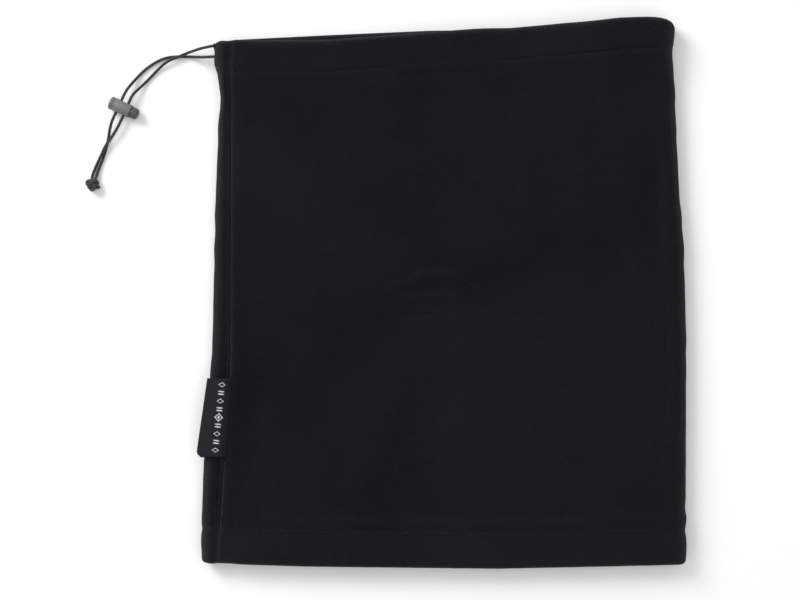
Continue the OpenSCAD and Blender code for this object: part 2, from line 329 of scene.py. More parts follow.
def row_y(row, x, front):
    """How far up the tube a row runs at x; front is 0 on the back of the tube and 1 on its front."""
    share, up, down, _ = row
    top = float(back_top(x)) * (1 - front) + float(front_top(x)) * front - rounded(x, down, *top_corner)
    bottom = float(bottom_mouth(x)) + rounded(x, up, *bottom_corner)
    return (1 - share) * (bottom + up) + share * (top - down)


def on_tube(column, row):
    """The point of the sheet at a column and a row, in millimetres."""
    kind, where = column
    h, inset = height(row), row[3] + groove(row)
    seam = float(seam_at(row_y(row, -110, 1)))
    left_edge = float(left_fold(row_y(row, -116, 0.5)))
    left_reach = min(fold_share * h, seam + lower_ply[-1][0] - fold_room - left_edge)
    left = left_edge + left_reach
    right = float(right_fold(row_y(row, 121, 0.5))) - h / 2
    if kind in ("left", "right"):
        angle = math.radians(where)
        x, reach = (left, left_reach) if kind == "left" else (right, h / 2)
        x += (reach - inset * min(reach / (tube_high / 2), 1)) * math.cos(angle)
        return x, row_y(row, x, (1 + math.sin(angle)) / 2), h / 2 + (h / 2 - inset) * math.sin(angle)
    if kind == "back":
        x = left + where * (right - left)
        return x, row_y(row, x, 0), inset
    if kind == "ply":
        free = ply_freedom(row)
        beside, depth, squeezed = where
        x = seam + squeezed + free * (beside - squeezed)
        dip = (1 - free) * seam_dip * math.exp(-(squeezed / dip_reach) ** 2)
        return x, row_y(row, x, 1), h - inset - dip - free * (depth - wall) - sunk(x, seam)
    start, end = (seam + lower_ply[-1][0], left) if kind == "strip" else (right, seam + upper_ply[-1][0])
    x = start + where * (end - start)
    return x, row_y(row, x, 1), h - inset - sunk(x, seam)


# %% [markdown]
# ## Rolling the sheet up
# A flat grid with one vertex for each row and column is the cut sheet. Each vertex is then moved to where
# its row and column meet on the tube. The grid's own neighbours stay neighbours, so the sheet stays one
# piece of cloth, and a UV map in metres of cloth is written before it is rolled, for the pile to follow.

# %% Roll the grid into a tube
def new_piece(name, bm):
    """Makes an object from a bmesh, in the scene."""
    mesh = bpy.data.meshes.new(name)
    bm.to_mesh(mesh)
    bm.free()
    piece = bpy.data.objects.new(name, mesh)
    scene.collection.objects.link(piece)
    return piece


places = np.array([[on_tube(column, row) for column in columns] for row in rows])
middle_row, middle_column = places[len(rows) // 2], places[:, len(columns) // 2]
across = np.concatenate([[0], np.cumsum(np.linalg.norm(np.diff(middle_row, axis=0), axis=1))])
along = np.concatenate([[0], np.cumsum(np.linalg.norm(np.diff(middle_column, axis=0), axis=1))])
flat_size = (across[-1] * MM, along[-1] * MM)

sheet = bmesh.new()
bmesh.ops.create_grid(sheet, x_segments=len(columns) - 1, y_segments=len(rows) - 1, size=0.5)
cloth_uv = sheet.loops.layers.uv.new("cloth")
kind_of = {}
for vertex in sheet.verts:
    i = round((vertex.co.x + 0.5) * (len(columns) - 1))
    j = round((vertex.co.y + 0.5) * (len(rows) - 1))
    kind_of[vertex.index] = (j, i)
for face in sheet.faces:
    for loop in face.loops:
        j, i = kind_of[loop.vert.index]
        loop[cloth_uv].uv = across[i] * MM, along[j] * MM
for vertex in sheet.verts:
    j, i = kind_of[vertex.index]
    vertex.co = Vector(places[j, i]) * MM
print("flat sheet", [round(size, 3) for size in flat_size], "m,", len(sheet.faces), "faces")

# %% [markdown]
# ## Letting the front settle
# The back of the tube lies on the table, and the hem, the casing and the side seam are stiff with several
# layers, but the front between them is free: it sinks onto the air and the cloth below and keeps a little
# slack, which makes its soft, uneven swells. A cloth simulation does that better than any formula. Only the
# free part is simulated, held all round its edge, over a plate that stands for what is under it. The result
# is copied back to the sheet, and no point may move further than a cap.

# %% Simulate the free part of the front
settle_frames, settle_cap = 28, 4.2 * MM
cushion_top, slack = 4.6 * MM, 0.005


def is_free(index):
    """Whether a vertex of the sheet is on the part of the front that can move."""
    j, i = kind_of[index]
    kind, _ = columns[i]
    share, up, down, inset = rows[j]
    return kind == "front" and inset == wall and (0 < share < 1 or max(up, down) >= 20)


def settle(bm):
    """Moves the free vertices of the sheet to where a cloth simulation leaves them."""
    panel = bm.copy()
    source = panel.verts.layers.int.new("source")
    panel.verts.index_update()
    for vertex in panel.verts:
        vertex[source] = vertex.index
    fixed = [face for face in panel.faces if not all(is_free(vertex.index) for vertex in face.verts)]
    bmesh.ops.delete(panel, geom=fixed, context="FACES")
    sources = [vertex[source] for vertex in panel.verts]
    rim = [i for i, vertex in enumerate(panel.verts) if vertex.is_boundary]
    piece = new_piece("settling_front", panel)
    piece.vertex_groups.new(name="held").add(rim, 1, "REPLACE")

    plate = bmesh.new()
    bmesh.ops.create_grid(plate, x_segments=8, y_segments=8, size=0.2)
    bmesh.ops.translate(plate, verts=plate.verts, vec=(0, 0, cushion_top))
    under = new_piece("what_lies_under", plate)
    under.modifiers.new("plate", "COLLISION")
    under.collision.thickness_outer = 0.5 * MM

    cloth = piece.modifiers.new("cloth", "CLOTH")
    cloth.settings.quality = 5
    cloth.settings.mass = 0.15
    cloth.settings.tension_stiffness = cloth.settings.compression_stiffness = 12
    cloth.settings.bending_stiffness = 0.3
    cloth.settings.vertex_group_mass = "held"
    cloth.settings.shrink_min = -slack
    cloth.collision_settings.distance_min = 0.5 * MM
    for step in range(1, settle_frames + 1):
        scene.frame_set(step)
    settled = piece.evaluated_get(bpy.context.evaluated_depsgraph_get()).to_mesh()
    bm.verts.ensure_lookup_table()
    moves = []
    for index, vertex in zip(sources, settled.vertices):
        move = vertex.co - bm.verts[index].co
        moves.append(move.length)
        bm.verts[index].co += move * min(1, settle_cap / max(move.length, 1e-9))
    scene.frame_set(1)
    for helper in (piece, under):
        bpy.data.objects.remove(helper)
    print("the front settled by", round(float(np.mean(moves)) / MM, 2), "mm on average and",
          round(max(moves) / MM, 2), "mm at most")


settle(sheet)

# %% [markdown]
# ## Softness at the edges
# Sewn edges are never straight. The stitches gather the hem and the casing a little, so they swell between
# short dips that run across them, and the whole front rises and falls by a fraction of a millimetre. Seeded
# noise moves the mesh for this, more near the stitching than in the middle.

# %% Gather the stitched edges
gather_reach, gather_w, gather_lift = 22, 5.5, 0.55
swell_w, swell_lift, fold_wander = 34, 0.35, 0.35
for vertex in sheet.verts:
    row = rows[kind_of[vertex.index][0]]
    kind = columns[kind_of[vertex.index][1]][0]
    if kind in ("ply", "strip"):
        continue
    place = vertex.co / MM
    edge = row[1] if row[0] == 0 else row[2] if row[0] == 1 else gather_reach
    near = smooth_step((gather_reach - edge) / 10)
    gathers = noise.noise(Vector((place.x / gather_w + place.y / 30, place.y / 16, 3))) * near * gather_lift
    swells = noise.noise(Vector((place.x / swell_w, place.y / swell_w, 7))) * swell_lift
    if kind in ("left", "right"):
        side = -1 if kind == "left" else 1
        vertex.co.x += side * noise.noise(Vector((place.y / 9, 2, 5))) * fold_wander * MM
    if kind == "front":
        vertex.co.z += (gathers + swells) * MM

# %% [markdown]
# ## Creases
# A gaiter is folded for its packet, and fleece keeps a trace of it: short, shallow ridges and valleys. Each
# is a line across the front with a width and a height, and it fades out at its ends. They are pressed into
# the mesh itself, because a crease catches the light along its whole slope. The sharpest ones, in the
# middle, need a finer mesh than the rest, so the edges there are subdivided first. That leaves flat facets
# between the old edges, and a few rounds of smoothing take them away.

# %% Press the creases into the front
creases = [
    ([(-38, -6), (-18, 5), (-2, 9), (10, 5), (24, -5)], 2.6, 0.8),
    ([(-30, -6), (-6, -3), (14, -5)], 3.6, 1.0),
    ([(-31, -12), (-4, -10.5), (22, -8)], 2.4, -0.8),
    ([(-28, -17), (-4, -16), (18, -14)], 4, 0.15),
    ([(-19, 13), (0, 14), (15, 17)], 2.6, -0.35),
    ([(-99, -7), (-86, -5), (-72, -4)], 3, -0.8),
    ([(-98, -14), (-84, -10), (-60, -9)], 5, 0.5),
    ([(34, -54), (70, -84), (102, -104)], 8, -1.8),
    ([(52, -50), (84, -66), (112, -82)], 8, 1.4),
    ([(112, 64), (100, 40), (106, 8)], 9, -1.4),
    ([(-96, -46), (-96.5, -76), (-95, -106)], 7, -1.2),
    ([(-60, 40), (-20, 62), (30, 76)], 12, 1.0),
    ([(-84, 96), (-40, 84), (4, 60)], 12, -0.8),
    ([(-30, -104), (10, -72), (26, -34)], 12, 0.9),
]


def crease_heights(spots):
    """How far the creases lift the cloth at an array of places on the front, in millimetres."""
    total = np.zeros(len(spots))
    for line, width, lift in creases:
        points = np.array([point[:2] for point in centreline("crease", [(x, y, 0) for x, y in line])]) / MM
        steps = np.diff(points, axis=0)
        lengths = np.linalg.norm(steps, axis=1)
        offsets = spots[:, None] - points[:-1]
        shares = np.clip((offsets * steps).sum(-1) / lengths ** 2, 0, 1)
        away = np.linalg.norm(offsets - shares[..., None] * steps, axis=-1)
        nearest = (np.arange(len(spots)), away.argmin(axis=1))
        passed = (np.cumsum(lengths) - lengths + shares * lengths)[nearest] / lengths.sum()
        fade = np.sin(np.pi * (0.04 + 0.92 * passed)) ** 0.6
        total += lift * fade * np.exp(-(away[nearest] / width) ** 2)
    return total


free = sheet.verts.layers.float.new("free")
for vertex in sheet.verts:
    vertex[free] = is_free(vertex.index)
sharp_x, sharp_y = (-42, 30), (-18, 20)
fine_area = [edge for edge in sheet.edges if all(
    vertex[free] and sharp_x[0] < vertex.co.x / MM < sharp_x[1] and sharp_y[0] < vertex.co.y / MM < sharp_y[1]
    for vertex in edge.verts)]
bmesh.ops.subdivide_edges(sheet, edges=fine_area, cuts=2, use_grid_fill=True)
front_verts = [vertex for vertex in sheet.verts if vertex[free] > 0.99]
fine_verts = [vertex for vertex in front_verts
              if sharp_x[0] < vertex.co.x / MM < sharp_x[1] and sharp_y[0] < vertex.co.y / MM < sharp_y[1]]
for _ in range(8):
    bmesh.ops.smooth_vert(sheet, verts=fine_verts, factor=0.5, use_axis_x=False, use_axis_y=False,
                          use_axis_z=True)
lifts = crease_heights(np.array([vertex.co[:2] for vertex in front_verts]) / MM)
for vertex, lift in zip(front_verts, lifts):
    vertex.co.z += lift * MM
sheet.verts.layers.float.remove(free)
print(len(creases), "creases over", len(front_verts), "vertices")

# %% Give the sheet its thickness
fleece = new_piece("fleece_sheet", sheet)
fleece.data.shade_smooth()
solid = fleece.modifiers.new("thickness", "SOLIDIFY")
solid.thickness = fleece_t * MM
solid.offset = 0
print(fleece.name, "has", len(fleece.data.polygons), "faces before it gets its thickness")

# %% [markdown]
# ## Thread
# The hem and the casing are held by rows of lockstitches, the side seam shows short ladder stitches at the
# bottom of its groove, and an overlock thread loops round the raw edges of the seam allowance. A stitch is
# a small lozenge of thread, thin where it dives into the cloth. It is made from one low sphere, because
# there are hundreds of them, and each is stretched and turned on its way into one mesh.

# %% A stitch, and rows of them
thread_r, thread_sunk = 0.24, 0.1


def add_stitch(bm, start, end, radius=thread_r):
    """One stitch between two places in millimetres."""
    start, end = Vector(start) * MM, Vector(end) * MM
    turned = (end - start).to_track_quat("Z", "Y").to_matrix().to_4x4()
    sized = Matrix.Diagonal((radius * MM, radius * MM, (end - start).length / 2, 1))
    bmesh.ops.create_uvsphere(bm, u_segments=6, v_segments=6, radius=1,
                              matrix=Matrix.Translation((start + end) / 2) @ turned @ sized)


def stitch_row(name, row, pitch, depth):
    """Stitches round the whole tube along one row of the sheet, each from one needle hole to the next."""
    raised = (*row[:3], depth)
    ring = [Vector(on_tube(column, raised)) for column in columns]
    bm = bmesh.new()
    passed, start = 0, ring[0]
    for a, b in zip(ring, ring[1:]):
        passed += (b - a).length
        if passed >= pitch:
            add_stitch(bm, start.lerp(b, 0.04), start.lerp(b, 0.96))
            passed, start = 0, b
    return new_piece(name, bm)


stitch_pitch = 2.5
hem_row = next(row for row in wall_low if row[1] == hem_stitch)
casing_row = next(row for row in wall_high if row[2] == casing_stitch)
hem_thread = stitch_row("hem_lockstitches", hem_row, stitch_pitch, hem_groove + thread_sunk)
casing_thread = stitch_row("casing_lockstitches", casing_row, stitch_pitch, casing_groove + thread_sunk)
print("hem and casing stitches:", len(hem_thread.data.polygons) // 36, len(casing_thread.data.polygons) // 36)

# %% Ladder stitches in the side seam
seam_from, seam_to, ladder_pitch = -136, 124, 2.4
rung_reach, rung_lean, rung_depth, rung_r = 0.95, 0.25, 1.25, 0.2
ladder = bmesh.new()
low_end, high_end = float(bottom_mouth(-110)), float(front_top(-110))
for y in np.arange(seam_from, seam_to, ladder_pitch):
    share = (y - low_end) / (high_end - low_end)
    edge = min(y - low_end, high_end - y)
    near = (0, edge, 0, wall) if share < 0.5 else (1, 0, edge, wall)
    x, z = float(seam_at(y)), height(near) - seam_sink - rung_depth
    add_stitch(ladder, (x - rung_reach, y - rung_lean, z), (x + rung_reach, y + rung_lean, z), rung_r)
seam_thread = new_piece("side_seam_ladder_stitches", ladder)

# %% Overlock loops round the raw edges inside
loops_from, loops_to, loop_pitch, loop_r = -118, 108, 1.7, 0.2
one_loop = ((-2.6, 1.45, 0), (0.35, 1.7, 0.3), (0.5, 4.7, 0.5), (-2.6, 5.15, 0.75))
loops = []
for y in np.arange(loops_from, loops_to, loop_pitch):
    edge = float(seam_at(y)) + allowance_w
    for out, inset, forward in one_loop:
        loops.append((edge + out, y + forward * loop_pitch, tube_high - sunk(out + allowance_w, 0) - inset))
overlock = as_mesh(smooth_curve("overlock_loops", loops, loop_r * MM, sides=4, steps=2))
print("overlock thread", round(line_length(centreline("overlock", loops)), 2), "m long")

# %% [markdown]
# ## Bartacks
# Above and below the slit that the cord leaves by, a bartack stops the casing from tearing: a bar of close
# zigzag stitches wrapped over the fold. Each of its threads is one stitch across the bar.

# %% Two bartacks on the left fold
tack_w, tack_step, tack_depth, tack_r = 1.6, 2.6, 0.08, 0.22
tack_from, tack_to = 150, 210.1
tacks = bmesh.new()
for down in (0.9, 11.5):
    for degrees in np.arange(tack_from, tack_to, tack_step):
        low = on_tube(("left", degrees), (1, 0, down + tack_w / 2, tack_depth))
        high = on_tube(("left", degrees + tack_step / 2), (1, 0, down - tack_w / 2, tack_depth))
        add_stitch(tacks, low, high, tack_r)
bartacks = new_piece("exit_bartacks", tacks)

# %% [markdown]
# ## The cord inside its casing
# Between its two ends the cord runs once round the tube, in the tunnel between the wall and the casing's
# inner layer. It is only glimpsed through the slit and at the mouth, but it is there.

# %% The hidden ring of cord
cord_inset, sink = 2.5, 3.6
along_side = np.linspace(0.02, 0.98, 20)
ring = [upper_route[0]]
ring += [on_tube(("left", degrees), (1, 0, 4, cord_inset)) for degrees in (140, 110)]
ring += [on_tube(("front", 1 - share), (1, 0, 4 + sink * share, cord_inset)) for share in along_side]
ring += [on_tube(("right", degrees), (1, 0, 7.8, cord_inset)) for degrees in (60, 20, -20, -60)]
ring += [on_tube(("back", 1 - share), (1, 0, 8 + share, cord_inset)) for share in along_side]
ring += [on_tube(("left", degrees), (1, 0, 9, cord_inset)) for degrees in (250, 215)]
ring += [lower_route[0]]
inner_cord = as_mesh(smooth_curve("braided_drawcord_in_casing", ring, cord_d / 2, sides=8, steps=4))
print("cord in the casing", round(line_length(centreline("inner", ring)), 3), "m")

# %% [markdown]
# ## The knot
# The two ends are tied together in one overhand knot, pulled tight, with two short cut tips. The middle of
# an overhand knot is a trefoil, which sine and cosine give directly. Two such strands lie beside each
# other.

# %% Two strands and their tips
knot_at, knot_reach, knot_rise = Vector((-180.6, 56, 2.75)), 1.0, 0.95


def trefoil(shift, lift, size):
    """One strand of the knot, as points in millimetres."""
    points = []
    for i in range(24):
        t = math.tau * i / 24 + shift
        flat = Vector((math.sin(t) + 2 * math.sin(2 * t), math.cos(t) - 2 * math.cos(2 * t), 0))
        point = knot_at + flat * knot_reach * size
        point.z += lift - math.sin(3 * t) * knot_rise
        points.append(point)
    return points


strands = []
for i, (lift, size) in enumerate([(0.75, 1), (-0.75, 0.94)]):
    points = trefoil(0.2 * i, lift, size)
    strands.append(as_mesh(smooth_curve("knot_strand_" + str(i), points, cord_d / 2, True, 12, 3)))
tips = [[(0.4, 0.6, 0.3), (1.8, -0.2, 0.8), (2.9, -0.9, 0.6), (3.6, -1.6, -0.3)],
        [(0.6, 0.2, -0.6), (2.2, -1, -0.9), (3, -2.1, -1.2)]]
for i, tip in enumerate(tips):
    points = [knot_at + Vector(point) for point in tip]
    strands.append(as_mesh(smooth_curve("knot_tip_" + str(i), points, cord_d / 2, sides=12, steps=3)))
for strand in strands:
    strand.data.shade_smooth()
knot_core = bmesh.new()
bmesh.ops.create_uvsphere(knot_core, u_segments=24, v_segments=14, radius=1)
bmesh.ops.scale(knot_core, verts=knot_core.verts, vec=(3 * MM, 3.2 * MM, 1.95 * MM))
bmesh.ops.translate(knot_core, verts=knot_core.verts, vec=knot_at * MM)
strands.append(new_piece("knot_middle", knot_core))
print(len(strands), "pieces in the knot")

# %% [markdown]
# ## The cord lock
# The lock is two moulded tubes, one in the other, with a spring between them. Each has a slot straight
# through it, and the cords run through both slots. The spring pushes the slots out of line, which pinches
# the cords. Both shells are turned from a profile with spin, the slots are cut with a Boolean, and a small
# bevel on every sharp edge catches the light, as on any moulded part.

# %% Shells turned from a profile
lock_r, bore_r, plunger_r = 3.35, 2.95, 2.87
closed_end, cavity_end, barrel_mouth, plunger_tip, plunger_end = -7.15, -6.15, 4.45, 9.15, -3.9
plunger_travel = 1.4
lock_middle, lock_turn = Vector((-165, 95.5, lock_r)) * MM, math.radians(-25)
lock_place = Matrix.Translation(lock_middle) @ Matrix.Rotation(lock_turn, 4, "Z")


def turned_shell(name, profile):
    """Spins a closed profile of (along, radius) about the lock's long axis, in the lock's own place."""
    bm = bmesh.new()
    points = [bm.verts.new((along * MM, 0, radius * MM)) for along, radius in profile]
    edges = [bm.edges.new(pair) for pair in zip(points, points[1:])]
    bmesh.ops.spin(bm, geom=points + edges, cent=(0, 0, 0), axis=(1, 0, 0), angle=math.tau, steps=64,
                   use_merge=True, use_duplicate=False)
    bmesh.ops.remove_doubles(bm, verts=bm.verts, dist=1e-6)
    bmesh.ops.recalc_face_normals(bm, faces=bm.faces)
    return new_piece(name, bm)


def cut_slot(piece, middle, length, high):
    """Cuts a slot with round ends straight through a shell, across its axis."""
    bm = bmesh.new()
    bmesh.ops.create_cube(bm, size=1)
    bmesh.ops.scale(bm, verts=bm.verts, vec=(length * MM, 12 * MM, high * MM))
    across = [edge for edge in bm.edges if abs((edge.verts[0].co - edge.verts[1].co).y) > MM]
    bmesh.ops.bevel(bm, geom=across, offset=high * 0.46 * MM, affect="EDGES", segments=8, profile=0.5,
                    material=-1)
    bmesh.ops.translate(bm, verts=bm.verts, vec=(middle * MM, 0, 0))
    cutter = new_piece(piece.name + "_slot", bm)
    cut = piece.modifiers.new("slot", "BOOLEAN")
    cut.object, cut.operation, cut.solver = cutter, "DIFFERENCE", "EXACT"
    edge = piece.modifiers.new("edges", "BEVEL")
    edge.width, edge.segments, edge.limit_method, edge.angle_limit = 0.14 * MM, 3, "ANGLE", math.radians(40)
    made = as_mesh(piece)
    bpy.data.objects.remove(cutter)
    made.data.transform(lock_place)
    made.data.shade_smooth()
    made.data.set_sharp_from_angle(angle=math.radians(50))
    return made


def arc(along, radius, size, start, end, steps=8):
    """Points of a quarter round, for the corners of a profile."""
    angles = np.radians(np.linspace(start, end, steps))
    return [(along + size * math.cos(a), radius + size * math.sin(a)) for a in angles]


barrel_profile = [(closed_end, 0)] + arc(closed_end + 1, lock_r - 1, 1, 180, 90)
shallow_groove = ((2.2, 0), (2.35, 0.12), (2.65, 0.12), (2.8, 0))
barrel_profile += [(closed_end + along, lock_r - deep) for along, deep in shallow_groove]
barrel_profile += [(barrel_mouth - 0.9, lock_r), (barrel_mouth, lock_r), (barrel_mouth, bore_r)]
barrel_profile += [(cavity_end + 0.4, bore_r), (cavity_end, bore_r - 0.4), (cavity_end, 0)]
plunger_profile = [(plunger_end, 0), (plunger_end, plunger_r), (barrel_mouth + 0.1, plunger_r)]
plunger_profile += arc(plunger_tip - 1.6, plunger_r - 1.3, 1.3, 90, 20)
plunger_profile += [(plunger_tip - 0.12, 0.9), (plunger_tip, 0)]
slot_high = 2.5
barrel = cut_slot(turned_shell("lock_barrel_shell", barrel_profile), 0, 6.4, slot_high)
plunger = cut_slot(turned_shell("lock_plunger_button", plunger_profile), 0.8, 7.8, slot_high)
print("barrel and plunger:", len(barrel.data.polygons), len(plunger.data.polygons), "faces")

# %% [markdown]
# ## The spring
# Between the barrel's closed end and the plunger sits a short compression spring of thin wire. It is a
# helix, which a loop works out, with its last quarter turns lying flat against both ends. When the button
# is pressed the spring has to get shorter. The share of its length that it keeps is worked out at the end,
# but nothing makes the spring flatten.

# %% The helix
coil_r, wire_d, turns, turn_steps = 1.87, 0.25, 3, 16
spring_from, spring_to = cavity_end + wire_d / 2 + 0.03, plunger_end - wire_d / 2 - 0.05
helix = []
for i in range(turns * turn_steps + 1):
    share, angle = i / (turns * turn_steps), math.tau * i / turn_steps
    along = spring_from + (spring_to - spring_from) * smooth_step(share * 1.1 - 0.05)
    helix.append((along, coil_r * math.cos(angle), coil_r * math.sin(angle)))
spring = as_mesh(smooth_curve("plunger_spring", helix, wire_d / 2 * MM, sides=8, steps=2))
spring.data.transform(lock_place)
spring.data.shade_smooth()
print("spring wire", round(line_length(centreline("helix", helix)) / MM, 1), "mm long")

# %% [markdown]
# ## The woven label
# The label is a damask tape folded in half. Its two ends are sewn into the side seam, so the fold is the
# free edge, which lies just past the left fold of the tube. The tape is a thin grid wrapped round its own
# fold. It droops a little beyond the tube, and its sewn ends dip into the seam. It gets its thickness from
# Solidify.

# %% The label's tape
label_z, tape_t, tape_gap = 9.95, 0.32, 0.26
label_rows, label_steps, root_inset = 44, 17, 1.1
hinge_top, hinge_bottom = Vector((-109.2, -43.7)), Vector((-112.3, -84.3))
label_left = soft_line([
    (-86, -121), (-84, -124.2), (-82.6, -125.8), (-81.2, -125.9), (-43.9, -120.5), (-40, -120),
], 0.8)


def label_place(along, around):
    """A point of the tape in millimetres: along the seam, and around from one sewn end to the other."""
    root = hinge_top.lerp(hinge_bottom, along)
    out = 1 - abs(2 * around - 1)
    side = math.copysign(1, around - 0.5) if around != 0.5 else 0
    tip_x = float(label_left(root.y + 0.1 - 0.2 * along))
    across = min(out / 0.93, 1)
    x = root.x + root_inset * (1 - across) + (tip_x - root.x) * across
    lip = math.sqrt(max(1 - max((out - 0.86) / 0.14, 0) ** 2, 0))
    past = max(-119.5 - x, 0)
    droop = 0.05 * past ** 1.5 + 2.2 * max(1 - across * 4, 0) ** 1.6
    y = root.y + 0.2 * math.sin(across * math.pi) * (2 * along - 1)
    z = label_z + side * (tape_t + tape_gap) / 2 * lip - droop
    return x, y, z + 0.16 * math.sin(along * 9 + 1) * across


tape_long, tape_w = 13.6, 40.7
tape = bmesh.new()
bmesh.ops.create_grid(tape, x_segments=2 * label_steps, y_segments=label_rows, size=0.5)
tape_uv = tape.loops.layers.uv.new("cloth")
label_flat = (2 * tape_long * MM, tape_w * MM)
for face in tape.faces:
    for loop in face.loops:
        loop[tape_uv].uv = (loop.vert.co.x + 0.5) * label_flat[0], (loop.vert.co.y + 0.5) * label_flat[1]
for vertex in tape.verts:
    vertex.co = Vector(label_place(0.5 - vertex.co.y, vertex.co.x + 0.5)) * MM
bmesh.ops.recalc_face_normals(tape, faces=tape.faces)
label = new_piece("folded_woven_label", tape)
label.data.shade_smooth()
label_wall = label.modifiers.new("thickness", "SOLIDIFY")
label_wall.thickness, label_wall.offset = tape_t * MM, 0
print("label flat size", [round(size, 4) for size in label_flat])

# %% [markdown]
# ## The woven pattern on the label
# The pattern is brocaded in white yarn that lies on the ground weave: a column of small lozenges with a
# larger one in the middle and pairs of short bars between them. It means nothing. Each lozenge is a fan of
# parallel yarns, longest in its middle.

# %% Yarns of the pattern
motif_top, motif_bottom = Vector((-113, -47)), Vector((-116.4, -80.5))
yarn_r, yarn_step = 0.17, 0.3
down_label = (motif_bottom - motif_top).normalized()
across_label = Vector((-down_label.y, down_label.x))
pattern = bmesh.new()


def on_label(point):
    """Puts a flat place on the label's upper face."""
    along = (point.y - hinge_top.y) / (hinge_bottom.y - hinge_top.y)
    root = hinge_top.lerp(hinge_bottom, along)
    sewn = root.x + root_inset
    share = (point.x - sewn) / (float(label_left(point.y)) - sewn)
    return point.x, point.y, label_place(along, 1 - 0.5 * 0.93 * share)[2] + tape_t / 2 + 0.02


def add_lozenge(middle, half_long, half_wide, hollow):
    """A lozenge of parallel yarns; a hollow one leaves out the middle of each yarn."""
    for step in np.arange(-half_long + yarn_step / 2, half_long, yarn_step):
        reach = half_wide * (1 - abs(step) / half_long)
        centre = middle + down_label * step
        inner = max(reach - hollow, 0) if hollow else 0
        for side in (-1, 1) if inner > 0.3 else (0,):
            start = centre + across_label * (side * inner if side else -reach)
            end = centre + across_label * (side * reach if side else reach)
            add_stitch(pattern, on_label(start), on_label(end), yarn_r)


def add_bar(middle, half_wide, lean=0.0):
    """One yarn straight across the column, or leaning."""
    tilt = down_label * lean
    add_stitch(pattern, on_label(middle - across_label * half_wide - tilt),
               on_label(middle + across_label * half_wide + tilt), yarn_r)


marks = 9
for i in range(marks):
    middle = motif_top.lerp(motif_bottom, i / (marks - 1))
    if i == marks // 2:
        add_lozenge(middle, 2.3, 2.3, 0.75)
        add_lozenge(middle, 0.9, 0.9, 0)
    elif i % 2:
        for shift in (-0.85, -0.5, 0.5, 0.85):
            add_bar(middle + down_label * shift, 1.7)
    else:
        add_lozenge(middle, 1.3, 1.9, 0.6)
woven_pattern = new_piece("woven_lozenges", pattern)
for piece in (hem_thread, casing_thread, seam_thread, overlock, bartacks, inner_cord, woven_pattern):
    piece.data.shade_smooth()
print("pattern yarns:", len(woven_pattern.data.polygons) // 36)

# %% [markdown]
# ## Writing materials
# A material is a small net of nodes. Written as calls it is hard to read, so two small classes help: one
# wraps a socket, so that sums on it add Math nodes, and one adds any other node and returns its output.

# %% Shader sums as Python sums
class Value:
    """An output in a material. Arithmetic on it adds Math nodes."""

    def __init__(self, recipe, socket):
        self.recipe, self.socket = recipe, socket

    def __add__(self, other):
        return self.recipe.maths("ADD", self, other)

    def __sub__(self, other):
        return self.recipe.maths("SUBTRACT", self, other)

    def __rsub__(self, other):
        return self.recipe.maths("SUBTRACT", other, self)

    def __mul__(self, other):
        return self.recipe.maths("MULTIPLY", self, other)

    __radd__, __rmul__ = __add__, __mul__


class Recipe:
    """A material with a Principled shader, whose plain sockets are set from keywords."""

    def __init__(self, name, **plain):
        self.material = bpy.data.materials.new(name)
        self.material.use_nodes = True
        self.nodes = self.material.node_tree.nodes
        self.shader = self.nodes["Principled BSDF"]
        for socket, value in plain.items():
            self.shader.inputs[socket.replace("_", " ")].default_value = value

    def add(self, kind, settings, inputs, output=0):
        """Adds a node: first its settings, then the values or links of its sockets."""
        node = self.nodes.new("ShaderNode" + kind)
        for name, value in settings.items():
            if name == "stops":
                for stop, (position, shade) in zip(node.color_ramp.elements, value):
                    stop.position, stop.color = position, (shade, shade, shade, 1)
            else:
                setattr(node, name, value)
        for name, value in inputs.items():
            socket = node.inputs[name] if isinstance(name, int) else self.named(node, name)
            self.feed(socket, value)
        return Value(self, node.outputs[output])

    def maths(self, operation, *terms):
        return self.add("Math", {"operation": operation}, dict(enumerate(terms)))

    def named(self, node, name):
        return next(socket for socket in node.inputs if socket.enabled and socket.name == name)

    def feed(self, socket, value):
        if isinstance(value, Value):
            self.material.node_tree.links.new(value.socket, socket)
        else:
            socket.default_value = value

    def mix(self, share, first, second):
        """A colour between two colours."""
        return self.add("Mix", {"data_type": "RGBA"}, {"Factor": share, "A": first, "B": second}, 2)

    def noise(self, place, scale, detail=3.0, roughness=0.6, curl=0.0):
        inputs = {"Vector": place, "Scale": scale, "Detail": detail, "Roughness": roughness}
        return self.add("TexNoise", {}, inputs | {"Distortion": curl})

    def ramp(self, value, *stops):
        return self.add("ValToRGB", {"stops": stops}, {"Fac": value})

    def finish(self, colour, height, distance, strength=1.0):
        """Feeds the colour and the bump, and returns the material."""
        self.feed(self.shader.inputs["Base Color"], colour)
        bump = self.add("Bump", {}, {"Strength": strength, "Distance": distance, "Height": height})
        self.feed(self.shader.inputs["Normal"], bump)
        return self.material


def wear(recipe, piece):
    """Gives the material to a piece, or to a CAD node's object."""
    piece.data.materials.clear()
    piece.data.materials.append(recipe)
